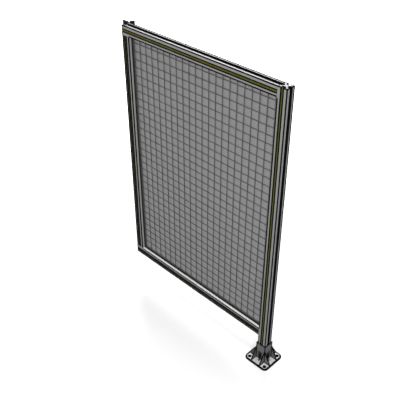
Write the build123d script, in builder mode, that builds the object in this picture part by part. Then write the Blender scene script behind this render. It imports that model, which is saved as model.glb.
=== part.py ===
"""Mesh fence panel: a machine guard bay of slotted aluminium profile on one cast floor foot.

The origin is the centre of the foot's underside. +Z is up, +X runs from the panel to the post
and the panel's front, with its coloured slot covers and its wires, looks along -Y.
"""

import os

from build123d import *

# Overall sizes of the bay
BAY_WIDTH = 900.0
BAY_HEIGHT = 1400.0
GROUND_GAP = 150.0

# Slotted aluminium profile
PROFILE = 45.0
CORNER_RADIUS = 2.0
SLOT_MOUTH = 10.0
LIP_THICKNESS = 4.5
LIP_CHAMFER = 0.6
SLOT_CAVITY = 20.5
SLOT_DEPTH = 14.5
CAVITY_WALL = 2.5

# Coloured cover strip snapped into the front slots
COVER_GAP = 1.5
COVER_RECESS = 0.6
COVER_THICKNESS = 1.6
COVER_LEG = 1.4
COVER_LEG_DEPTH = 6.0
COVER_HOOK = 2.6
SNAP_CLEARANCE = 0.05
COVER_END_GAP = 3.0

# Cast floor foot
PLATE_SIDE = 132.0
PLATE_THICKNESS = 6.0
PLATE_CORNER = 21.0
PLATE_EDGE = 1.5
ANCHOR_SPACING = 92.0
ANCHOR_HOLE = 11.0
COLLAR_WALL = 4.0
COLLAR_HEIGHT = 104.0
COLLAR_CLEARANCE = 0.3
COLLAR_CORNER = 1.5
COLLAR_RIM = 0.8
RIB_THICKNESS = 4.0
RIB_HEIGHT = 68.0
RIB_SETBACK = 4.0
RIB_TOE = 2.0
VENT_WIDTH = 10.0
VENT_TOP = 48.0
VENT_REACH = 11.0

# Infill: a backing sheet and a welded wire grid seated in the frame's slots
SHEET_THICKNESS = 2.0
SLOT_ENGAGEMENT = 11.0
WIRE = 4.0
CELL_WIDTH = 33.4
CELL_HEIGHT = 33.5
FIRST_UPRIGHT_WIRE = 9.8
FIRST_CROSS_WIRE = 7.2
LAST_WIRE_MARGIN = 6.0
MESH_SECTIONS = 4

# Two small plates at the panel's free top corner
TAB_WIDTH = 30.0
TAB_OFFSET = 2.0
TAB_THICKNESS = 4.0
TAB_HIGH = 21.0
TAB_LOW = 6.0
TAB_CORNER = 3.0
TONGUE_CLEARANCE = 0.1
STRAP_WIDTH = 32.5
STRAP_SETBACK = 1.0
STRAP_THICKNESS = 4.0
STRAP_HIGH = 14.5
STRAP_LOW = 6.0
STRAP_DROP = 20.0
STRAP_SCREW_HOLE = 8.5

# Lines that the pieces share
HALF = PROFILE / 2
POST_LEFT = -HALF
PANEL_LEFT = HALF - BAY_WIDTH
RAIL_LENGTH = POST_LEFT - PANEL_LEFT
OPENING_LEFT = PANEL_LEFT + PROFILE
OPENING_BOTTOM = GROUND_GAP + PROFILE
OPENING_TOP = BAY_HEIGHT - PROFILE
UPRIGHT_LENGTH = OPENING_TOP - OPENING_BOTTOM
UPRIGHT_AXIS = PANEL_LEFT + HALF
BOTTOM_RAIL_AXIS = GROUND_GAP + HALF
TOP_RAIL_AXIS = BAY_HEIGHT - HALF
POST_BASE = PLATE_THICKNESS
POST_LENGTH = BAY_HEIGHT - POST_BASE

# Planes on which the profiles are drawn: local Y of each looks at the piece's covered face
POST_PLANE = Plane(origin=(0, 0, POST_BASE), x_dir=(-1, 0, 0), z_dir=(0, 0, 1))
UPRIGHT_PLANE = Plane(
    origin=(UPRIGHT_AXIS, 0, OPENING_BOTTOM), x_dir=(-1, 0, 0), z_dir=(0, 0, 1)
)
BOTTOM_RAIL_PLANE = Plane(
    origin=(PANEL_LEFT, 0, BOTTOM_RAIL_AXIS), x_dir=(0, 0, 1), z_dir=(1, 0, 0)
)
TOP_RAIL_PLANE = Plane(
    origin=(PANEL_LEFT, 0, TOP_RAIL_AXIS), x_dir=(0, 0, 1), z_dir=(1, 0, 0)
)


def slot_opening():
    """Outline of one slot: a chamfered mouth between the lips and the undercut behind them."""
    with BuildSketch() as opening:
        with BuildLine():
            Polyline(
                (0, HALF),
                (-SLOT_MOUTH / 2 - LIP_CHAMFER, HALF),
                (-SLOT_MOUTH / 2, HALF - LIP_CHAMFER),
                (-SLOT_MOUTH / 2, HALF - LIP_THICKNESS),
                (-SLOT_CAVITY / 2, HALF - LIP_THICKNESS),
                (-SLOT_CAVITY / 2, HALF - LIP_THICKNESS - CAVITY_WALL),
                (-SLOT_MOUTH / 2, HALF - SLOT_DEPTH),
                (0, HALF - SLOT_DEPTH),
            )
            mirror(about=Plane.YZ)
        make_face()
    return opening.sketch


def profile_section():
    """Section of the extrusion: a square core and four square corners between four slots."""
    with BuildSketch() as section:
        RectangleRounded(PROFILE, PROFILE, CORNER_RADIUS)
        with PolarLocations(0, 4):
            add(slot_opening(), mode=Mode.SUBTRACT)
    return section.sketch


def cover_section():
    """Section of the snap-in strip: a flat crown on two hooked legs behind the slot's lips."""
    crown = SLOT_MOUTH - 2 * COVER_GAP
    top = HALF - COVER_RECESS
    leg_outer = crown / 2
    leg_inner = leg_outer - COVER_LEG
    hook_top = HALF - LIP_THICKNESS - SNAP_CLEARANCE
    foot = top - COVER_LEG_DEPTH
    with BuildSketch() as section:
        with BuildLine():
            Polyline(
                (0, top),
                (-leg_outer, top),
                (-leg_outer, hook_top),
                (-leg_outer - COVER_HOOK, hook_top),
                (-leg_outer, foot),
                (-leg_inner, foot),
                (-leg_inner, top - COVER_THICKNESS),
                (0, top - COVER_THICKNESS),
            )
            mirror(about=Plane.YZ)
        make_face()
    return section.sketch


# Post, the one full-height profile, standing on the foot's plate
with BuildPart() as post:
    with BuildSketch(POST_PLANE):
        add(profile_section())
    extrude(amount=POST_LENGTH)

# Top rail, which runs over the left upright and butts on the post
with BuildPart() as top_rail:
    with BuildSketch(TOP_RAIL_PLANE):
        add(profile_section())
    extrude(amount=RAIL_LENGTH)

# Bottom rail, under the left upright
with BuildPart() as bottom_rail:
    with BuildSketch(BOTTOM_RAIL_PLANE):
        add(profile_section())
    extrude(amount=RAIL_LENGTH)

# Left upright, between the two rails
with BuildPart() as left_upright:
    with BuildSketch(UPRIGHT_PLANE):
        add(profile_section())
    extrude(amount=UPRIGHT_LENGTH)

# Cover strips in the four front slots, those of the rails cut a little short of the post
with BuildPart() as post_cover_strip:
    with BuildSketch(POST_PLANE):
        add(cover_section())
    extrude(amount=POST_LENGTH)

with BuildPart() as top_rail_cover_strip:
    with BuildSketch(TOP_RAIL_PLANE):
        add(cover_section())
    extrude(amount=RAIL_LENGTH - COVER_END_GAP)

with BuildPart() as bottom_rail_cover_strip:
    with BuildSketch(BOTTOM_RAIL_PLANE):
        add(cover_section())
    extrude(amount=RAIL_LENGTH - COVER_END_GAP)

with BuildPart() as left_upright_cover_strip:
    with BuildSketch(UPRIGHT_PLANE):
        add(cover_section())
    extrude(amount=UPRIGHT_LENGTH)

# Cast floor foot: plate, square collar and a pair of ribs at each corner of the collar
COLLAR_INNER = PROFILE + 2 * COLLAR_CLEARANCE
COLLAR_OUTER = COLLAR_INNER + 2 * COLLAR_WALL
RIB_REACH = PLATE_SIDE / 2 - RIB_SETBACK
with BuildPart() as floor_foot:
    with BuildSketch():
        RectangleRounded(PLATE_SIDE, PLATE_SIDE, PLATE_CORNER)
    extrude(amount=PLATE_THICKNESS)
    chamfer(faces().sort_by(Axis.Z)[-1].edges(), PLATE_EDGE)
    with BuildSketch(Plane.XY.offset(PLATE_THICKNESS)):
        RectangleRounded(COLLAR_OUTER, COLLAR_OUTER, COLLAR_CORNER)
    extrude(amount=COLLAR_HEIGHT - PLATE_THICKNESS)
    for side in (-1, 1):
        rib_middle = side * (COLLAR_OUTER - RIB_THICKNESS) / 2
        rib_planes = (Plane.XZ.offset(-rib_middle), Plane.YZ.offset(rib_middle))
        for rib_plane in rib_planes:
            with BuildSketch(rib_plane):
                with BuildLine():
                    Polyline(
                        (0, PLATE_THICKNESS),
                        (RIB_REACH, PLATE_THICKNESS),
                        (RIB_REACH, PLATE_THICKNESS + RIB_TOE),
                        (COLLAR_OUTER / 2, PLATE_THICKNESS + RIB_HEIGHT),
                        (0, PLATE_THICKNESS + RIB_HEIGHT),
                    )
                    mirror(about=Plane.YZ)
                make_face()
            extrude(amount=RIB_THICKNESS / 2, both=True)
    with BuildSketch(Plane.XY.offset(PLATE_THICKNESS)):
        Rectangle(COLLAR_INNER, COLLAR_INNER)
    extrude(amount=COLLAR_HEIGHT, mode=Mode.SUBTRACT)
    chamfer(faces().sort_by(Axis.Z)[-1].edges(), COLLAR_RIM)
    with BuildSketch(Plane.XY.offset(PLATE_THICKNESS)):
        Rectangle(COLLAR_OUTER + VENT_WIDTH, VENT_WIDTH)
        Rectangle(VENT_WIDTH, COLLAR_OUTER + VENT_WIDTH)
    extrude(amount=VENT_TOP - PLATE_THICKNESS, mode=Mode.SUBTRACT)
    with BuildSketch():
        with PolarLocations(COLLAR_OUTER / 2 + VENT_REACH / 2, 4):
            Rectangle(VENT_REACH, VENT_WIDTH)
    extrude(amount=PLATE_THICKNESS, mode=Mode.SUBTRACT)
    with GridLocations(ANCHOR_SPACING, ANCHOR_SPACING, 2, 2):
        Hole(ANCHOR_HOLE / 2, depth=PLATE_THICKNESS)

# Backing sheet, its edges held in the slots of the frame
SHEET_LEFT = OPENING_LEFT - SLOT_ENGAGEMENT
SHEET_RIGHT = POST_LEFT + SLOT_ENGAGEMENT
SHEET_BOTTOM = OPENING_BOTTOM - SLOT_ENGAGEMENT
SHEET_TOP = OPENING_TOP + SLOT_ENGAGEMENT
SHEET_WIDTH = SHEET_RIGHT - SHEET_LEFT
SHEET_HEIGHT = SHEET_TOP - SHEET_BOTTOM
INFILL_X = (SHEET_LEFT + SHEET_RIGHT) / 2
INFILL_Z = (SHEET_BOTTOM + SHEET_TOP) / 2
SHEET_BACK = SLOT_MOUTH / 2
SHEET_FRONT = SHEET_BACK - SHEET_THICKNESS
with BuildPart() as backing_sheet:
    with BuildSketch(Plane.XZ.offset(-SHEET_BACK)):
        with Locations((INFILL_X, INFILL_Z)):
            Rectangle(SHEET_WIDTH, SHEET_HEIGHT)
    extrude(amount=SHEET_THICKNESS)

# Welded wire grid in front of the sheet, its wire ends in the slots of the frame
HORIZONTAL_WIRE_Y = SHEET_FRONT - WIRE / 2
VERTICAL_WIRE_Y = HORIZONTAL_WIRE_Y - WIRE
WIRE_PITCH_X = CELL_WIDTH + WIRE
WIRE_PITCH_Z = CELL_HEIGHT + WIRE
OPENING_WIDTH = POST_LEFT - OPENING_LEFT
OPENING_HEIGHT = OPENING_TOP - OPENING_BOTTOM
UPRIGHT_WIRE_ROOM = OPENING_WIDTH - FIRST_UPRIGHT_WIRE - LAST_WIRE_MARGIN
CROSS_WIRE_ROOM = OPENING_HEIGHT - FIRST_CROSS_WIRE - LAST_WIRE_MARGIN
WIRES_ACROSS = int(UPRIGHT_WIRE_ROOM / WIRE_PITCH_X) + 1
WIRES_UP = int(CROSS_WIRE_ROOM / WIRE_PITCH_Z) + 1
GRID_X = OPENING_LEFT + FIRST_UPRIGHT_WIRE + (WIRES_ACROSS - 1) * WIRE_PITCH_X / 2
LOWEST_WIRE = OPENING_BOTTOM + FIRST_CROSS_WIRE


def mesh_section(index):
    """One band of the grid: all the upright wires and the cross wires between two heights."""
    first = round(index * WIRES_UP / MESH_SECTIONS)
    last = round((index + 1) * WIRES_UP / MESH_SECTIONS) - 1
    low = LOWEST_WIRE + (first - 0.5) * WIRE_PITCH_Z if index > 0 else SHEET_BOTTOM
    high = LOWEST_WIRE + (last + 0.5) * WIRE_PITCH_Z if index < MESH_SECTIONS - 1 else SHEET_TOP
    middle = LOWEST_WIRE + (first + last) * WIRE_PITCH_Z / 2
    with BuildPart() as section:
        with BuildSketch(Plane.XY.offset(low)):
            with Locations((GRID_X, VERTICAL_WIRE_Y)):
                with GridLocations(WIRE_PITCH_X, WIRE_PITCH_X, WIRES_ACROSS, 1):
                    Rectangle(WIRE, WIRE)
        extrude(amount=high - low)
        with BuildSketch(Plane.YZ.offset(SHEET_LEFT)):
            with Locations((HORIZONTAL_WIRE_Y, middle)):
                with GridLocations(WIRE_PITCH_Z, WIRE_PITCH_Z, 1, last - first + 1):
                    Rectangle(WIRE, WIRE)
        extrude(amount=SHEET_WIDTH)
    return section


# End tab, which stands across the top rail's end with its tongue down in the top slot
TONGUE_WIDTH = SLOT_MOUTH - 2 * TONGUE_CLEARANCE
TAB_FRONT = TAB_OFFSET - TAB_WIDTH / 2
TAB_BACK = TAB_OFFSET + TAB_WIDTH / 2
with BuildPart() as end_tab:
    with BuildSketch(Plane.YZ.offset(PANEL_LEFT)):
        with BuildLine():
            Polyline(
                (TAB_FRONT, BAY_HEIGHT),
                (TAB_FRONT, BAY_HEIGHT + TAB_HIGH),
                (TAB_BACK, BAY_HEIGHT + TAB_LOW),
                (TAB_BACK, BAY_HEIGHT),
                close=True,
            )
        make_face()
        fillet(vertices().group_by(Axis.Z)[-1], TAB_CORNER)
        with Locations((0, BAY_HEIGHT - SLOT_DEPTH / 2)):
            Rectangle(TONGUE_WIDTH, SLOT_DEPTH)
    extrude(amount=TAB_THICKNESS)

# Rear strap, screwed into the rear slot of the top rail
STRAP_LEFT = PANEL_LEFT + STRAP_SETBACK
STRAP_RIGHT = STRAP_LEFT + STRAP_WIDTH
STRAP_BOTTOM = TOP_RAIL_AXIS - STRAP_DROP
with BuildPart() as rear_strap:
    with BuildSketch(Plane.XZ.offset(-HALF)):
        with BuildLine():
            Polyline(
                (STRAP_LEFT, STRAP_BOTTOM),
                (STRAP_LEFT, BAY_HEIGHT + STRAP_LOW),
                (STRAP_RIGHT, BAY_HEIGHT + STRAP_HIGH),
                (STRAP_RIGHT, STRAP_BOTTOM),
                close=True,
            )
        make_face()
        fillet(vertices(), TAB_CORNER)
        with Locations(((STRAP_LEFT + STRAP_RIGHT) / 2, TOP_RAIL_AXIS)):
            Circle(STRAP_SCREW_HOLE / 2, mode=Mode.SUBTRACT)
    extrude(amount=-STRAP_THICKNESS)

os.makedirs("parts", exist_ok=True)
pieces = {
    "post": post,
    "top_rail": top_rail,
    "bottom_rail": bottom_rail,
    "left_upright": left_upright,
    "post_cover_strip": post_cover_strip,
    "top_rail_cover_strip": top_rail_cover_strip,
    "bottom_rail_cover_strip": bottom_rail_cover_strip,
    "left_upright_cover_strip": left_upright_cover_strip,
    "floor_foot": floor_foot,
    "backing_sheet": backing_sheet,
    "end_tab": end_tab,
    "rear_strap": rear_strap,
}
for index in range(MESH_SECTIONS):
    pieces[f"wire_mesh_{index + 1}"] = mesh_section(index)
for name, piece in pieces.items():
    piece.part.label = name
    export_step(piece.part, f"parts/{name}.step")
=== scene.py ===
import math

import bmesh
import bpy
from mathutils import Matrix, Vector


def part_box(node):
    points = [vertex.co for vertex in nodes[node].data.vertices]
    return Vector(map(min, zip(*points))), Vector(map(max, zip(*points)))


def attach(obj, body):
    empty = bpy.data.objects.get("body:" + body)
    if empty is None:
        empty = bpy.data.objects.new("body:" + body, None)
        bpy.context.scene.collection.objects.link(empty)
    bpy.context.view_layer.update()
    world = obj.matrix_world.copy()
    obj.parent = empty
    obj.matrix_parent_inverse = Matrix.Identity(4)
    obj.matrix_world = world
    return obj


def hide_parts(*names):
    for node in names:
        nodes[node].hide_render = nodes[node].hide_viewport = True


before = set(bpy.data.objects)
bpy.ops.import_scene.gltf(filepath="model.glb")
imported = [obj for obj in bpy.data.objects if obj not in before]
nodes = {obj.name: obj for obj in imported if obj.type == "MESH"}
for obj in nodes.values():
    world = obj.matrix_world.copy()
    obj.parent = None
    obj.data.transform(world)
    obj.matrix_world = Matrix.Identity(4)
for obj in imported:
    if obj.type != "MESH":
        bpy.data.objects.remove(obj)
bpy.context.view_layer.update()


# Post
# The full-height member is a 45 mm slotted extrusion of anodised aluminium, sawn square at
# both ends. It stands in the foot's collar and carries the rails on slot nuts.
PROFILE = 0.045
HALF = PROFILE / 2
BAY_TOP = 1.400
POST_BASE = 0.006
GROUND_GAP = 0.150
OPENING_LOW = GROUND_GAP + PROFILE
OPENING_HIGH = BAY_TOP - PROFILE

DULL_ALUMINIUM = (0.226, 0.228, 0.230)
BRIGHT_ALUMINIUM = (0.276, 0.277, 0.276)
CLOUDED_ALUMINIUM = (0.260, 0.258, 0.252)
# The black of the painted shade in the slots, along the dark lines and in shade boxes
PAINTED_SHADE_BLACK = (0.006, 0.006, 0.006)
CLOUD_SHARE = 0.35
METAL_SHARE = 0.25
PROFILE_ROUGHNESS = (0.34, 0.46)

# Most of a noise lies between these values, so its tones are spread over them
MIDTONES = (0.3, 0.7)
NARROW_MIDTONES = (0.35, 0.65)


def start_material(name):
    material = bpy.data.materials.new(name)
    material.use_nodes = True
    tree = material.node_tree
    tree.nodes.clear()
    output = tree.nodes.new("ShaderNodeOutputMaterial")
    surface = tree.nodes.new("ShaderNodeBsdfPrincipled")
    tree.links.new(surface.outputs["BSDF"], output.inputs["Surface"])
    place = tree.nodes.new("ShaderNodeTexCoord")
    return material, tree, surface, place.outputs["Object"]


def start_group(name, inputs, outputs):
    group = bpy.data.node_groups.new(name, "ShaderNodeTree")
    for direction, sockets in (("INPUT", inputs), ("OUTPUT", outputs)):
        for socket in sockets:
            kind = "NodeSocketVector" if socket == "Vector" else "NodeSocketFloat"
            group.interface.new_socket(socket, in_out=direction, socket_type=kind)
    given = group.nodes.new("NodeGroupInput").outputs
    made = group.nodes.new("NodeGroupOutput").inputs
    return group, given, made


def add_noise(tree, vector, scale, detail, roughness=0.5):
    noise = tree.nodes.new("ShaderNodeTexNoise")
    noise.inputs["Scale"].default_value = scale
    noise.inputs["Detail"].default_value = detail
    noise.inputs["Roughness"].default_value = roughness
    tree.links.new(vector, noise.inputs["Vector"])
    return noise.outputs["Fac"]


def add_range(tree, value, low, high, new_low, new_high):
    span = tree.nodes.new("ShaderNodeMapRange")
    span.inputs["From Min"].default_value = low
    span.inputs["From Max"].default_value = high
    span.inputs["To Min"].default_value = new_low
    span.inputs["To Max"].default_value = new_high
    tree.links.new(value, span.inputs["Value"])
    return span.outputs["Result"]


# A mask that comes in beyond a value, and one that holds within it
def beyond(tree, value, start, end):
    return add_range(tree, value, start, end, 0, 1)


def within(tree, value, start, end):
    return add_range(tree, value, start, end, 1, 0)


def add_calculation(tree, operation, result, *others):
    for other in others:
        step = tree.nodes.new("ShaderNodeMath")
        step.operation = operation
        for socket, value in zip(step.inputs, (result, other)):
            if isinstance(value, (int, float)):
                socket.default_value = value
            else:
                tree.links.new(value, socket)
        result = step.outputs[0]
    return result


def split_place(tree, vector):
    parts = tree.nodes.new("ShaderNodeSeparateXYZ")
    tree.links.new(vector, parts.inputs["Vector"])
    return parts.outputs["X"], parts.outputs["Y"], parts.outputs["Z"]


def add_blend(tree, share, first, second):
    blend = tree.nodes.new("ShaderNodeMix")
    blend.data_type = "RGBA"
    tree.links.new(share, blend.inputs["Factor"])
    for socket, colour in (("A", first), ("B", second)):
        target = [s for s in blend.inputs if s.name == socket and s.type == "RGBA"][0]
        if isinstance(colour, tuple):
            target.default_value = (*colour, 1)
        else:
            tree.links.new(colour, target)
    return [s for s in blend.outputs if s.type == "RGBA"][0]


def add_bump(tree, height, distance, strength=1.0):
    bump = tree.nodes.new("ShaderNodeBump")
    bump.inputs["Distance"].default_value = distance
    bump.inputs["Strength"].default_value = strength
    tree.links.new(height, bump.inputs["Height"])
    return bump.outputs["Normal"]


# Die lines: the fine lengthwise streaks of an extrusion, which run along the local Z axis
DIE_STRETCH = 0.012
die_lines, given, made = start_group("die_lines", ("Vector",), ("Streaks", "Clouds"))
stretch = die_lines.nodes.new("ShaderNodeMapping")
stretch.inputs["Scale"].default_value = (1.0, 1.0, DIE_STRETCH)
die_lines.links.new(given["Vector"], stretch.inputs["Vector"])
die_lines.links.new(add_noise(die_lines, stretch.outputs["Vector"],
                              scale=950.0, detail=3.0, roughness=0.6), made["Streaks"])
die_lines.links.new(add_noise(die_lines, given["Vector"],
                              scale=7.0, detail=4.0, roughness=0.6), made["Clouds"])


# Profile shading: across a member, the slots are painted dark inside as painted shade, and a
# painted dark line of shade runs along each corner, each slot's lips and the outline of the
# sawn ends. The lines are at their widest on the front and on the outer or upper face, and
# widest of all beside the low and the high corner. They stop where another member is joined
# on flush. Each pair below says where a mark starts and ends its fade, in metres from the axis.
FACE = (0.0215, 0.0220)
SLOT_INSIDE = (0.0217, 0.0222)
CORNER = (0.0222, 0.0226)
SLOT_MOUTH = (0.0050, 0.0054)
LIP_BACK = (0.0175, 0.0178)
END_OUTLINE = (0.0179, 0.0183)
LOW_HALF = (-0.001, 0)
HIGH_HALF = (0, 0.001)
PAST_END = (-0.00015, -0.00005)
CUT_LINE = (0, 0.0004)
BOX_FADE = (-0.0002, 0)
NARROWER_LINE_SHARE = 0.6
LIP_LINE_SHARE = 0.95

profile_shading, given, made = start_group(
    "profile_shading", ("Vector", "End", "Line", "Low Corner", "High Corner", "Joint"),
    ("Depth", "Edge", "Middle"))
tree = profile_shading
outward, rearward, lengthwise = split_place(tree, given["Vector"])
frontward = add_calculation(tree, "MULTIPLY", rearward, -1)
across = add_calculation(tree, "ABSOLUTE", outward, 0)
through = add_calculation(tree, "ABSOLUTE", rearward, 0)
along = add_calculation(tree, "ABSOLUTE", lengthwise, 0)
outermost = add_calculation(tree, "MAXIMUM", across, through)
innermost = add_calculation(tree, "MINIMUM", across, through)
past_end = add_calculation(tree, "SUBTRACT", along, given["End"])
beside_end = within(tree, past_end, *PAST_END)

wide_line_faces = add_range(tree, add_calculation(tree, "MAXIMUM", outward, frontward),
                       *FACE, NARROWER_LINE_SHARE, 1)
line = add_calculation(tree, "MULTIPLY", given["Line"], wide_line_faces)
low_corner = add_calculation(tree, "MULTIPLY", given["Low Corner"],
                             beyond(tree, frontward, *FACE), within(tree, outward, *LOW_HALF))
high_corner = add_calculation(tree, "MULTIPLY", given["High Corner"],
                              beyond(tree, outward, *FACE), beyond(tree, rearward, *HIGH_HALF))
to_corner = add_calculation(tree, "ADD", innermost, line, low_corner, high_corner)
corner_line = add_calculation(tree, "MULTIPLY", beyond(tree, to_corner, *CORNER),
                              add_calculation(tree, "SUBTRACT", 1, given["Joint"]))
past_lip = add_calculation(tree, "SUBTRACT", innermost,
                           add_calculation(tree, "MULTIPLY", line, LIP_LINE_SHARE))
lip_line = add_calculation(tree, "MULTIPLY", within(tree, past_lip, *SLOT_MOUTH),
                           beyond(tree, outermost, *LIP_BACK))
cut_line = add_calculation(tree, "MULTIPLY", beside_end,
                           beyond(tree, add_calculation(tree, "ADD", past_end, line), *CUT_LINE))
end_line = add_calculation(tree, "MULTIPLY", add_calculation(tree, "SUBTRACT", 1, beside_end),
                           beyond(tree, outermost, *END_OUTLINE))
depth = add_calculation(tree, "MULTIPLY", beside_end, within(tree, outermost, *SLOT_INSIDE))
tree.links.new(depth, made["Depth"])
tree.links.new(add_calculation(tree, "MAXIMUM", corner_line, end_line, cut_line, lip_line),
               made["Edge"])
tree.links.new(innermost, made["Middle"])


def box_mask(tree, place, low, high):
    centre = tuple((a + b) / 2 for a, b in zip(low, high))
    half = tuple((b - a) / 2 for a, b in zip(low, high))
    vector = place
    for operation, other in (("SUBTRACT", centre), ("ABSOLUTE", None), ("SUBTRACT", half)):
        step = tree.nodes.new("ShaderNodeVectorMath")
        step.operation = operation
        tree.links.new(vector, step.inputs[0])
        if other:
            step.inputs[1].default_value = other
        vector = step.outputs["Vector"]
    outside = add_calculation(tree, "MAXIMUM", *split_place(tree, vector))
    return within(tree, outside, *BOX_FADE)


def member_masks(tree, place, turn, shift, end, line, low_corner, high_corner, joints=()):
    turned = tree.nodes.new("ShaderNodeMapping")
    turned.inputs["Rotation"].default_value = turn
    turned.inputs["Location"].default_value = shift
    tree.links.new(place, turned.inputs["Vector"])
    masks = tree.nodes.new("ShaderNodeGroup")
    masks.node_tree = profile_shading
    masks.inputs["End"].default_value = end
    masks.inputs["Line"].default_value = line
    masks.inputs["Low Corner"].default_value = low_corner
    masks.inputs["High Corner"].default_value = high_corner
    tree.links.new(turned.outputs["Vector"], masks.inputs["Vector"])
    if joints:
        joined = [box_mask(tree, place, low, high) for low, high in joints]
        tree.links.new(add_calculation(tree, "MAXIMUM", *joined), masks.inputs["Joint"])
    return turned.outputs["Vector"], masks.outputs


def anodised_profile(name, member, joints=(), painted_light=(), painted_shade=()):
    material, tree, surface, place = start_material(name)
    turned, masks = member_masks(tree, place, **member, joints=joints)
    lines = tree.nodes.new("ShaderNodeGroup")
    lines.node_tree = die_lines
    tree.links.new(turned, lines.inputs["Vector"])
    streaks = lines.outputs["Streaks"]
    shade = add_blend(tree, beyond(tree, streaks, *MIDTONES), DULL_ALUMINIUM, BRIGHT_ALUMINIUM)
    clouded = add_range(tree, lines.outputs["Clouds"], *NARROW_MIDTONES, 0, CLOUD_SHARE)
    shade = add_blend(tree, clouded, shade, CLOUDED_ALUMINIUM)
    dark = add_calculation(tree, "MAXIMUM", masks["Edge"], masks["Depth"])
    # Boxes of painted light make a face paler and clear its dark lines; boxes of painted shade
    # turn black
    for low, high, paleness in painted_light:
        painted_light_box = box_mask(tree, place, low, high)
        shade = add_blend(tree, painted_light_box, shade, (paleness, paleness, paleness))
        dark = add_calculation(tree, "MINIMUM", dark, add_calculation(tree, "SUBTRACT", 1, painted_light_box))
    for low, high in painted_shade:
        dark = add_calculation(tree, "MAXIMUM", dark, box_mask(tree, place, low, high))
    tree.links.new(add_blend(tree, dark, shade, PAINTED_SHADE_BLACK), surface.inputs["Base Color"])
    tree.links.new(add_range(tree, dark, 0, 1, METAL_SHARE, 0), surface.inputs["Metallic"])
    sheen = add_range(tree, streaks, *MIDTONES, *PROFILE_ROUGHNESS)
    tree.links.new(add_calculation(tree, "MAXIMUM", sheen, dark), surface.inputs["Roughness"])
    tree.links.new(add_bump(tree, streaks, distance=0.00006), surface.inputs["Normal"])
    surface.inputs["Specular IOR Level"].default_value = 0.0
    return material


def dress(name, material):
    node = nodes[name]
    node.data.materials.clear()
    node.data.materials.append(material)


# How the shading is turned and shifted onto the post, where it ends, and its lines' widths
post_lines = dict(turn=(0, 0, 0), shift=(0, 0, -(BAY_TOP + POST_BASE) / 2),
                  end=(BAY_TOP - POST_BASE) / 2, line=0.0040, low_corner=0.0026,
                  high_corner=0.0044)

# Boxes where the rails butt on the post and where it is sunk in the foot's collar. They
# reach just past the faces that they mark. The sunk end is painted black, as painted shade
# inside the collar.
PAST_FACE = 0.0230
SKIN = 0.001
BUTT_INSIDE = 0.0140
SUNK_TOP = 0.100
bottom_butt = ((-PAST_FACE, -PAST_FACE, GROUND_GAP), (-BUTT_INSIDE, PAST_FACE, OPENING_LOW))
top_butt = ((-PAST_FACE, -PAST_FACE, OPENING_HIGH), (-BUTT_INSIDE, PAST_FACE, BAY_TOP + SKIN))
sunk_end = ((-PAST_FACE, -PAST_FACE, 0), (PAST_FACE, PAST_FACE, SUNK_TOP))
dress("post", anodised_profile("anodised_post", post_lines, joints=(bottom_butt, top_butt),
                               painted_shade=(sunk_end,)))


# Left upright and rails
# The same extrusion, cut into the panel's other three members: the top and bottom rails
# run through and the left upright stands between them, held by connectors in the slots.
PANEL_LEFT = -0.8775
OPENING_LEFT = PANEL_LEFT + PROFILE
OPENING_RIGHT = -HALF
TOP_AXIS = BAY_TOP - HALF
BOTTOM_AXIS = GROUND_GAP + HALF

# A joined end lies 40 mm short of the shading's end, so that no cut line is drawn on it
JOINED = 0.040
rail_turn = (0, math.radians(90), 0)
rail_middle = (PANEL_LEFT + OPENING_RIGHT + JOINED) / 2
rail_end = (OPENING_RIGHT + JOINED - PANEL_LEFT) / 2
left_upright_lines = dict(
    turn=(0, 0, 0), shift=(-PANEL_LEFT - HALF, 0, -(OPENING_LOW + OPENING_HIGH) / 2),
    end=(OPENING_HIGH - OPENING_LOW) / 2 + JOINED, line=0.0058, low_corner=0.0050,
    high_corner=0.0020)
top_rail_lines = dict(turn=rail_turn, shift=(-TOP_AXIS, 0, rail_middle), end=rail_end,
                      line=0.0042, low_corner=0.0026, high_corner=0.0044)
bottom_rail_lines = dict(turn=rail_turn, shift=(-BOTTOM_AXIS, 0, rail_middle), end=rail_end,
                         line=0.0058, low_corner=0.0046, high_corner=0.0)

# Where the left upright meets the rails, and boxes of painted light and painted shade: the
# bottom rail's ledge and the upright's inner side are painted paler as painted light, and the
# top rail's upper face around its slot is painted black as painted shade.
JOINT_INSIDE = 0.011
LEDGE_LIGHT = (-0.0212, -0.0098)
LEDGE_LIGHT_TONE = 0.96
SIDE_LIGHT = (-0.0190, -0.0096)
SIDE_LIGHT_TONE = 0.46
SLOT_SHADE = (-0.0114, 0.0098)
top_joint = ((PANEL_LEFT - SKIN, -PAST_FACE, OPENING_HIGH - SKIN),
             (OPENING_LEFT, PAST_FACE, OPENING_HIGH + JOINT_INSIDE))
low_joint = ((PANEL_LEFT - SKIN, -PAST_FACE, OPENING_LOW - JOINT_INSIDE),
             (OPENING_LEFT, PAST_FACE, OPENING_LOW + SKIN))
painted_light_ledge = ((OPENING_LEFT, LEDGE_LIGHT[0], OPENING_LOW - SKIN / 5),
               (OPENING_RIGHT, LEDGE_LIGHT[1], OPENING_LOW + SKIN), LEDGE_LIGHT_TONE)
painted_light_side = ((OPENING_LEFT - SKIN / 2, SIDE_LIGHT[0], OPENING_LOW),
              (OPENING_LEFT + SKIN / 2, SIDE_LIGHT[1], OPENING_HIGH), SIDE_LIGHT_TONE)
painted_shade_slot = ((PANEL_LEFT - SKIN, SLOT_SHADE[0], BAY_TOP - SKIN / 2),
              (OPENING_RIGHT, SLOT_SHADE[1], BAY_TOP + SKIN / 2))
dress("left_upright", anodised_profile("anodised_upright", left_upright_lines,
                                       painted_light=(painted_light_side,)))
dress("top_rail", anodised_profile("anodised_top_rail", top_rail_lines, joints=(top_joint,),
                                   painted_shade=(painted_shade_slot,)))
dress("bottom_rail", anodised_profile("anodised_bottom_rail", bottom_rail_lines,
                                      joints=(low_joint,), painted_light=(painted_light_ledge,)))
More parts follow.
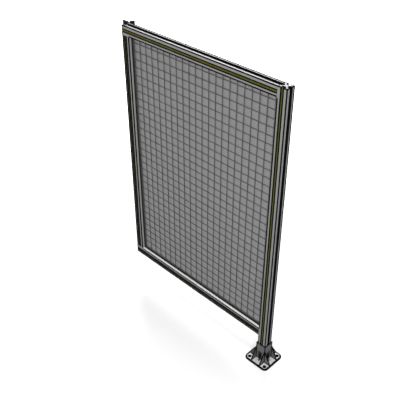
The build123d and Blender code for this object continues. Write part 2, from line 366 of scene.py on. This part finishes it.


# Slot cover strips
# Olive plastic strips, extruded with two hooked legs and snapped into the four front slots.
# The crown is smooth with a low sheen. Its edges are painted dark as painted shade, and so
# is the post's strip where it is sunk in the foot's collar.
DARK_OLIVE = (0.088, 0.088, 0.012)
LIGHT_OLIVE = (0.112, 0.111, 0.018)
OLIVE_PAINTED_SHADE = (0.006, 0.006, 0.004)
SHADE_FADE = 0.0003
COLLAR_MOUTH = (0.102, 0.104)
STRIP_ROUGHNESS = (0.48, 0.60)


def cover_plastic(name, member, unshaded_half_width, sunk=False):
    material, tree, surface, place = start_material(name)
    masks = member_masks(tree, place, **member)[1]
    mottle = add_noise(tree, place, scale=38.0, detail=4.0, roughness=0.55)
    grain = add_noise(tree, place, scale=1800.0, detail=2.0)
    olive = add_blend(tree, beyond(tree, mottle, *NARROW_MIDTONES), DARK_OLIVE, LIGHT_OLIVE)
    strip_shade = beyond(tree, masks["Middle"], unshaded_half_width, unshaded_half_width + SHADE_FADE)
    if sunk:
        height = split_place(tree, place)[2]
        strip_shade = add_calculation(tree, "MAXIMUM", strip_shade, within(tree, height, *COLLAR_MOUTH))
    tree.links.new(add_blend(tree, strip_shade, olive, OLIVE_PAINTED_SHADE), surface.inputs["Base Color"])
    sheen = add_range(tree, mottle, *MIDTONES, *STRIP_ROUGHNESS)
    tree.links.new(add_calculation(tree, "MAXIMUM", strip_shade, sheen), surface.inputs["Roughness"])
    tree.links.new(add_bump(tree, grain, distance=0.00003), surface.inputs["Normal"])
    surface.inputs["Specular IOR Level"].default_value = 0.05
    return material


dress("post_cover_strip",
      cover_plastic("olive_post_strip", post_lines, unshaded_half_width=0.0017, sunk=True))
dress("top_rail_cover_strip",
      cover_plastic("olive_top_strip", top_rail_lines, unshaded_half_width=0.0029))
# The bottom rail's and the upright's strips are painted shade nearly all across
dress("bottom_rail_cover_strip",
      cover_plastic("olive_low_strip", bottom_rail_lines, unshaded_half_width=0.0002))
dress("left_upright_cover_strip",
      cover_plastic("olive_upright_strip", left_upright_lines, unshaded_half_width=0.0002))


# Floor foot
# One aluminium casting with a drilled plate, a square collar and a pair of ribs at each
# corner. Its skin is the fine sand grain of the mould. Black lines of painted shade run along
# its edges, creases and hole rims, and its plate is painted pale as painted light.
DULL_CASTING = (0.120, 0.121, 0.122)
BRIGHT_CASTING = (0.165, 0.165, 0.163)
PAINTED_LIGHT_PLATE = (0.620, 0.620, 0.612)
SAND_PIT = (0.100, 0.100, 0.100)
PIT_LEVELS = (0.28, 0.42)
PIT_SHARE = 0.4
CAST_ROUGHNESS = (0.50, 0.68)
PLATE_ROUNDING = 0.045
ANCHOR_PLACE = 0.046
RIB_SLOPE = 66 / 35.2

# The casting's dark edges, which are painted shade: each pair says where a mark starts and
# ends its fade, in metres of height, of reach from the axis, or from a hole or a rounding.
# The collar's corner lines are wider on one diagonal.
PLATE_TOP = (0.0061, 0.0062)
PLATE_EDGE = (0.0062, 0.0068)
PLATE_SKIN = (0.0061, 0.0063)
PLATE_RIM = (0.0120, 0.0125)
HOLE_RIM = (0.0088, 0.0093)
RIB_CREST = (0.1135, 0.1145)
RIB_START = (0.0270, 0.0275)
RIB_ROOT = (0.0298, 0.0302)
RIB_FOOT = (0.0108, 0.0112)
RIB_INNER_SIDE = (0.0212, 0.0216)
RIB_OUTER_SIDE = (0.0282, 0.0286)
RIB_TOE = (0.0630, 0.0635)
COLLAR_FACE = (0.0269, 0.0270)
COLLAR_RIM = (0.1002, 0.1007)
COLLAR_CORNERS = (0.0228, 0.0196)
COLLAR_LINE = (0, 0.0004)
DIAGONAL = (0, 0.00002)
VENT_SIDE = (0.0120, 0.0124)
VENT_FACE = (0.0265, 0.0275)
VENT_TOP = (0.0555, 0.0560)

cast_skin, tree, surface, place = start_material("cast_skin")
sand = add_noise(tree, place, scale=620.0, detail=5.0, roughness=0.65)
patches = add_noise(tree, place, scale=26.0, detail=5.0, roughness=0.6)
side, front, height = split_place(tree, place)
across = add_calculation(tree, "ABSOLUTE", side, 0)
through = add_calculation(tree, "ABSOLUTE", front, 0)
reach = add_calculation(tree, "MAXIMUM", across, through)
nearer = add_calculation(tree, "MINIMUM", across, through)


def length_of(tree, first, second):
    flat = tree.nodes.new("ShaderNodeCombineXYZ")
    tree.links.new(first, flat.inputs["X"])
    tree.links.new(second, flat.inputs["Y"])
    length = tree.nodes.new("ShaderNodeVectorMath")
    length.operation = "LENGTH"
    tree.links.new(flat.outputs["Vector"], length.inputs[0])
    return length.outputs["Value"]


rib_line = add_calculation(tree, "ADD", height,
                           add_calculation(tree, "MULTIPLY", reach, RIB_SLOPE))
rib_crest = add_calculation(tree, "MULTIPLY", beyond(tree, rib_line, *RIB_CREST),
                            beyond(tree, reach, *RIB_START))
above_plate = beyond(tree, height, *PLATE_TOP)
rib_root = add_calculation(tree, "MULTIPLY", above_plate, beyond(tree, reach, *COLLAR_FACE),
                           within(tree, reach, *RIB_ROOT))
rib_foot = add_calculation(tree, "MULTIPLY", above_plate, within(tree, height, *RIB_FOOT))
beside_rib = add_calculation(
    tree, "MULTIPLY", beyond(tree, nearer, *RIB_INNER_SIDE),
    within(tree, nearer, *RIB_OUTER_SIDE), within(tree, reach, *RIB_TOE),
    within(tree, height, *PLATE_SKIN))
corner_start = add_range(tree, add_calculation(tree, "MULTIPLY", side, front), *DIAGONAL,
                         *COLLAR_CORNERS)
past_start = add_calculation(tree, "SUBTRACT", nearer, corner_start)
collar_corner = add_calculation(tree, "MULTIPLY", beyond(tree, past_start, *COLLAR_LINE),
                                within(tree, reach, *COLLAR_FACE))
vent_edge = add_calculation(tree, "MULTIPLY", within(tree, nearer, *VENT_SIDE),
                            within(tree, reach, *VENT_FACE), within(tree, height, *VENT_TOP))
past_rounding = [
    add_calculation(tree, "MAXIMUM",
                    add_calculation(tree, "SUBTRACT", distance, PLATE_ROUNDING), 0)
    for distance in (across, through)]
from_hole = [add_calculation(tree, "SUBTRACT", distance, ANCHOR_PLACE)
             for distance in (across, through)]
# Black lines of painted shade along the ribs, collar, vents, plate rim and hole rims
edges = add_calculation(
    tree, "MAXIMUM", rib_crest, rib_root, rib_foot, beside_rib, collar_corner,
    beyond(tree, height, *COLLAR_RIM), vent_edge,
    beyond(tree, length_of(tree, *past_rounding), *PLATE_RIM),
    within(tree, length_of(tree, *from_hole), *HOLE_RIM))
shade = add_blend(tree, beyond(tree, patches, *MIDTONES), DULL_CASTING, BRIGHT_CASTING)
# The plate is painted pale, as painted light on its top
shade = add_blend(tree, beyond(tree, height, *PLATE_EDGE), PAINTED_LIGHT_PLATE, shade)
shade = add_blend(tree, edges, shade, PAINTED_SHADE_BLACK)
shade = add_blend(tree, add_range(tree, sand, *PIT_LEVELS, PIT_SHARE, 0), shade, SAND_PIT)
sheen = add_range(tree, sand, *MIDTONES, *CAST_ROUGHNESS)
tree.links.new(shade, surface.inputs["Base Color"])
tree.links.new(add_calculation(tree, "MAXIMUM", edges, sheen), surface.inputs["Roughness"])
tree.links.new(add_range(tree, edges, 0, 1, METAL_SHARE, 0), surface.inputs["Metallic"])
tree.links.new(add_bump(tree, sand, distance=0.00035, strength=0.8), surface.inputs["Normal"])
surface.inputs["Specular IOR Level"].default_value = 0.0
dress("floor_foot", cast_skin)


# Backing sheet
# A matt grey plastic sheet behind the wires, held in the slots of the frame. Its face has
# the light pebble of an extruded sheet and faint wipe marks.
DARK_SHEET = (0.240, 0.241, 0.243)
LIGHT_SHEET = (0.268, 0.268, 0.266)
SHEET_ROUGHNESS = (0.55, 0.68)
sheet_plastic, tree, surface, place = start_material("grey_sheet_plastic")
pebble = add_noise(tree, place, scale=900.0, detail=2.0)
wipes = add_noise(tree, place, scale=5.0, detail=5.0, roughness=0.65)
tree.links.new(add_blend(tree, beyond(tree, wipes, *MIDTONES), DARK_SHEET, LIGHT_SHEET),
               surface.inputs["Base Color"])
tree.links.new(add_range(tree, wipes, *MIDTONES, *SHEET_ROUGHNESS), surface.inputs["Roughness"])
tree.links.new(add_bump(tree, pebble, distance=0.00008, strength=0.6),
               surface.inputs["Normal"])
dress("backing_sheet", sheet_plastic)


# Wire grid
# Round 4 mm galvanised wires, the upright ones in front, welded at every crossing. Their
# ends go down into the slots of the frame, and the upright wires are painted darker, as
# painted shade.
WIRE_RADIUS = 0.002
WIRE_SIDES = 12
UPRIGHT_WIRE_Y = -0.003
CROSS_WIRE_Y = 0.001
FIRST_UPRIGHT_WIRE = -0.8227
UPRIGHT_WIRE_PITCH = 0.0374
UPRIGHT_WIRES = 22
FIRST_CROSS_WIRE = 0.2022
CROSS_WIRE_PITCH = 0.0375
CROSS_WIRES = 31
WELD_RADIUS = 0.0018
WELD_SPREAD = (1.25, 0.9, 1.25, 1)
DULL_ZINC = (0.085, 0.086, 0.088)
BRIGHT_ZINC = (0.150, 0.150, 0.149)
WIRE_PAINTED_SHADE = (0.020, 0.020, 0.020)
SHADED_WIRES_Y = (-0.0014, -0.0006)
WIRE_SHADE_SHARE = 0.6
WIRE_ROUGHNESS = (0.40, 0.56)
SMOOTH_BELOW = math.radians(35)

(left, _, low), (right, _, high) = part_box("backing_sheet")
columns = [FIRST_UPRIGHT_WIRE + i * UPRIGHT_WIRE_PITCH for i in range(UPRIGHT_WIRES)]
rows = [FIRST_CROSS_WIRE + i * CROSS_WIRE_PITCH for i in range(CROSS_WIRES)]
grid_mesh = bmesh.new()
for x in columns:
    bmesh.ops.create_cone(
        grid_mesh, cap_ends=True, segments=WIRE_SIDES, radius1=WIRE_RADIUS,
        radius2=WIRE_RADIUS, depth=high - low,
        matrix=Matrix.Translation((x, UPRIGHT_WIRE_Y, (low + high) / 2)))
for z in rows:
    bmesh.ops.create_cone(
        grid_mesh, cap_ends=True, segments=WIRE_SIDES, radius1=WIRE_RADIUS,
        radius2=WIRE_RADIUS, depth=right - left,
        matrix=Matrix.Translation(((left + right) / 2, CROSS_WIRE_Y, z))
        @ Matrix.Rotation(math.pi / 2, 4, "Y"))
for x in columns:
    for z in rows:
        bmesh.ops.create_icosphere(
            grid_mesh, subdivisions=1, radius=WELD_RADIUS,
            matrix=Matrix.Translation((x, (UPRIGHT_WIRE_Y + CROSS_WIRE_Y) / 2, z))
            @ Matrix.Diagonal(WELD_SPREAD))


def finished_piece(name, mesh, material):
    data = bpy.data.meshes.new(name)
    mesh.to_mesh(data)
    mesh.free()
    data.materials.append(material)
    piece = bpy.data.objects.new(name, data)
    bpy.context.scene.collection.objects.link(piece)
    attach(piece, "root")
    return piece


def shade_round(piece):
    for polygon in piece.data.polygons:
        polygon.use_smooth = True
    piece.data.set_sharp_from_angle(angle=SMOOTH_BELOW)


zinc_wire, tree, surface, place = start_material("galvanised_wire")
spangle = add_noise(tree, place, scale=260.0, detail=4.0, roughness=0.6)
drawn = add_noise(tree, place, scale=22.0, detail=3.0)
zinc = add_blend(tree, beyond(tree, spangle, *NARROW_MIDTONES), DULL_ZINC, BRIGHT_ZINC)
painted_shade = add_range(tree, split_place(tree, place)[1], *SHADED_WIRES_Y, WIRE_SHADE_SHARE, 0)
tree.links.new(add_blend(tree, painted_shade, zinc, WIRE_PAINTED_SHADE), surface.inputs["Base Color"])
tree.links.new(add_range(tree, drawn, *MIDTONES, *WIRE_ROUGHNESS), surface.inputs["Roughness"])
tree.links.new(add_bump(tree, spangle, distance=0.00008), surface.inputs["Normal"])
surface.inputs["Metallic"].default_value = 0.4
wire_grid = finished_piece("wire_grid", grid_mesh, zinc_wire)
shade_round(wire_grid)
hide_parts("wire_mesh_1", "wire_mesh_2", "wire_mesh_3", "wire_mesh_4")


# Infill seal
# A black rubber lip pressed into the slot in front of the cross wires, all round the
# opening. It stands a little proud of the slot's mouth and hides the wire ends. Its near-black
# rubber also serves as painted shade along the opening's edge.
SEAL_PROUD = 0.0030
SEAL_DEPTH = 0.0040
SEAL_THICKNESS = 0.0038
SEAL_Y = -0.0030
SEAL_ROUNDING = 0.0004
DARK_RUBBER = (0.009, 0.009, 0.010)
RUBBER_BLOOM = (0.020, 0.020, 0.021)
RUBBER_ROUGHNESS = (0.62, 0.80)

seal_mesh = bmesh.new()
for left, right, low, high in (
    (OPENING_LEFT - SEAL_DEPTH, OPENING_LEFT + SEAL_PROUD, OPENING_LOW, OPENING_HIGH),
    (OPENING_RIGHT - SEAL_PROUD, OPENING_RIGHT + SEAL_DEPTH, OPENING_LOW, OPENING_HIGH),
    (OPENING_LEFT, OPENING_RIGHT, OPENING_LOW - SEAL_DEPTH, OPENING_LOW + SEAL_PROUD),
    (OPENING_LEFT, OPENING_RIGHT, OPENING_HIGH - SEAL_PROUD, OPENING_HIGH + SEAL_DEPTH),
):
    bmesh.ops.create_cube(
        seal_mesh, size=1,
        matrix=Matrix.Translation(((left + right) / 2, SEAL_Y, (low + high) / 2))
        @ Matrix.Diagonal((right - left, SEAL_THICKNESS, high - low, 1)))
bmesh.ops.bevel(
    seal_mesh, geom=list(seal_mesh.edges), offset=SEAL_ROUNDING, segments=2, profile=0.5,
    affect="EDGES", material=-1)
rubber, tree, surface, place = start_material("black_rubber")
bloom = add_noise(tree, place, scale=90.0, detail=4.0, roughness=0.6)
tree.links.new(add_blend(tree, beyond(tree, bloom, *MIDTONES), DARK_RUBBER, RUBBER_BLOOM),
               surface.inputs["Base Color"])
tree.links.new(add_range(tree, bloom, *MIDTONES, *RUBBER_ROUGHNESS), surface.inputs["Roughness"])
infill_seal = finished_piece("infill_seal", seal_mesh, rubber)


# End tab and rear strap
# Two small black steel plates at the free top corner: the tab's tongue sits in the top
# slot, and the strap is screwed into the rail's rear slot.
BLACKED_STEEL = (0.016, 0.016, 0.017)
SCUFFED_STEEL = (0.060, 0.060, 0.058)
SCUFFS = (0.5, 0.75)
STEEL_ROUGHNESS = (0.34, 0.55)
black_steel, tree, surface, place = start_material("black_steel")
scuffs = add_noise(tree, place, scale=120.0, detail=5.0, roughness=0.7)
tree.links.new(add_blend(tree, beyond(tree, scuffs, *SCUFFS), BLACKED_STEEL, SCUFFED_STEEL),
               surface.inputs["Base Color"])
tree.links.new(add_range(tree, scuffs, *MIDTONES, *STEEL_ROUGHNESS), surface.inputs["Roughness"])
tree.links.new(add_bump(tree, scuffs, distance=0.00008), surface.inputs["Normal"])
surface.inputs["Metallic"].default_value = 0.3
dress("end_tab", black_steel)
dress("rear_strap", black_steel)


# Strap screw
# One zinc-plated button-head screw with a socket in its crown, which draws the strap against
# the top rail's rear slot through a nut in the slot.
HEAD_SIDES = 24
HEAD_RADIUS = 0.0066
CROWN_RADIUS = 0.0045
HEAD_HEIGHT = 0.0040
CROWN_ROUNDING = 0.0010
SOCKET_WALL = 0.0012
SOCKET_DEPTH = 0.0022
DULL_PLATING = (0.36, 0.36, 0.35)
BRIGHT_PLATING = (0.48, 0.48, 0.49)
PLATING_ROUGHNESS = (0.26, 0.40)

screw_mesh = bmesh.new()
bmesh.ops.create_cone(
    screw_mesh, cap_ends=True, segments=HEAD_SIDES, radius1=HEAD_RADIUS,
    radius2=CROWN_RADIUS, depth=HEAD_HEIGHT)
rim = [edge for edge in screw_mesh.edges if all(v.co.z > 0 for v in edge.verts)]
bmesh.ops.bevel(
    screw_mesh, geom=rim, offset=CROWN_ROUNDING, segments=3, profile=0.5, affect="EDGES",
    material=-1)
crown = max(screw_mesh.faces, key=lambda face: face.calc_center_median().z)
bmesh.ops.inset_region(screw_mesh, faces=[crown], thickness=SOCKET_WALL, depth=0)
socket = bmesh.ops.extrude_discrete_faces(screw_mesh, faces=[crown])["faces"][0]
bmesh.ops.translate(screw_mesh, vec=(0, 0, -SOCKET_DEPTH), verts=socket.verts)
strap_low, strap_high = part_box("rear_strap")
bmesh.ops.transform(
    screw_mesh, verts=screw_mesh.verts,
    matrix=Matrix.Translation(((strap_low[0] + strap_high[0]) / 2,
                               strap_high[1] + HEAD_HEIGHT / 2, TOP_AXIS))
    @ Matrix.Rotation(-math.pi / 2, 4, "X"))
bmesh.ops.recalc_face_normals(screw_mesh, faces=screw_mesh.faces)
zinc_plate, tree, surface, place = start_material("zinc_plate")
tint = add_noise(tree, place, scale=400.0, detail=3.0)
tree.links.new(add_blend(tree, beyond(tree, tint, *MIDTONES), DULL_PLATING, BRIGHT_PLATING),
               surface.inputs["Base Color"])
tree.links.new(add_range(tree, tint, *MIDTONES, *PLATING_ROUGHNESS), surface.inputs["Roughness"])
surface.inputs["Metallic"].default_value = 0.9
strap_screw = finished_piece("strap_screw", screw_mesh, zinc_plate)
shade_round(strap_screw)


# Studio
# A floor that runs out of view, a white surround and three large soft lamps. The floor is
# pale in the picture and greyer towards the object, and it glows only far off, so that it
# keeps the object's shadow.
FLOOR_GREY = (0.34, 0.34, 0.34)
FLOOR_PALE = (0.86, 0.86, 0.86)
PAINTED_SHADE_UNDER_FOOT = (0.015, 0.015, 0.015)
FOOT_OUTLINE = (0.056, 0.058)
NEAR_GLOW = 0.06
GLOW_STARTS = 1.2
GLOW_IS_FULL = 2.6
SURROUND_LIGHT = 0.22
FLOOR_REACH = 40


def seen_in_picture(tree):
    path = tree.nodes.new("ShaderNodeLightPath")
    return add_calculation(tree, "MAXIMUM", path.outputs["Is Camera Ray"],
                           path.outputs["Is Glossy Ray"], path.outputs["Is Transmission Ray"])


floor_mesh = bpy.data.meshes.new("floor")
floor_shape = bmesh.new()
bmesh.ops.create_grid(floor_shape, x_segments=1, y_segments=1, size=FLOOR_REACH)
floor_shape.to_mesh(floor_mesh)
floor_shape.free()
floor = bpy.data.objects.new("floor", floor_mesh)
bpy.context.scene.collection.objects.link(floor)
floor_paint, tree, surface, place = start_material("floor_paint")
seen = seen_in_picture(tree)
side, front, _ = split_place(tree, place)
off_axis = add_calculation(tree, "MAXIMUM", add_calculation(tree, "ABSOLUTE", side, 0),
                           add_calculation(tree, "ABSOLUTE", front, 0))
# The floor under the foot is painted near black, as painted shade seen through the anchor holes
beyond_foot_shade = beyond(tree, off_axis, *FOOT_OUTLINE)
pale = add_blend(tree, seen, FLOOR_GREY, FLOOR_PALE)
tree.links.new(add_blend(tree, beyond_foot_shade, PAINTED_SHADE_UNDER_FOOT, pale), surface.inputs["Base Color"])
far_glow = add_range(tree, length_of(tree, side, front), GLOW_STARTS, GLOW_IS_FULL,
                     NEAR_GLOW, 1)
tree.links.new(add_calculation(tree, "MULTIPLY", far_glow, seen, beyond_foot_shade),
               surface.inputs["Emission Strength"])
surface.inputs["Emission Color"].default_value = (1, 1, 1, 1)
surface.inputs["Roughness"].default_value = 0.9
surface.inputs["Specular IOR Level"].default_value = 0.0
floor_mesh.materials.append(floor_paint)

world = bpy.data.worlds.new("surround")
bpy.context.scene.world = world
world.use_nodes = True
tree = world.node_tree
tree.nodes.clear()
sky_out = tree.nodes.new("ShaderNodeOutputWorld")
sky = tree.nodes.new("ShaderNodeBackground")
tree.links.new(add_range(tree, seen_in_picture(tree), 0, 1, SURROUND_LIGHT, 1.0),
               sky.inputs["Strength"])
sky.inputs["Color"].default_value = (1, 1, 1, 1)
tree.links.new(sky.outputs["Background"], sky_out.inputs["Surface"])


def soft_lamp(name, place, aim, size, power):
    light = bpy.data.lights.new(name, "AREA")
    light.shape = "DISK"
    light.size = size
    light.energy = power
    lamp = bpy.data.objects.new(name, light)
    lamp.location = place
    lamp.rotation_euler = (Vector(aim) - Vector(place)).to_track_quat("-Z", "Y").to_euler()
    bpy.context.scene.collection.objects.link(lamp)


soft_lamp("overhead_lamp", place=(0.4, -0.4, 9.9), aim=(-0.4, 0, 0.7), size=5.0, power=640)
soft_lamp("front_lamp", place=(3.4, -5.0, 3.0), aim=(-0.4, 0, 0.7), size=4.0, power=310)
soft_lamp("back_lamp", place=(-3.9, 3.5, 4.2), aim=(-0.4, 0, 1.0), size=3.0, power=300)

# The camera stands at the photo's viewing angle, which the frame's edges give
camera_data = bpy.data.cameras.new("camera")
camera_data.sensor_width = 36
camera_data.lens = 57.09
camera = bpy.data.objects.new("camera", camera_data)
camera.location = (1.22435, -1.64955, 2.34959)
camera.rotation_euler = (math.radians(54.7356), 0, math.radians(45))
bpy.context.scene.collection.objects.link(camera)
bpy.context.scene.camera = camera
bpy.context.scene.view_settings.view_transform = "Standard"
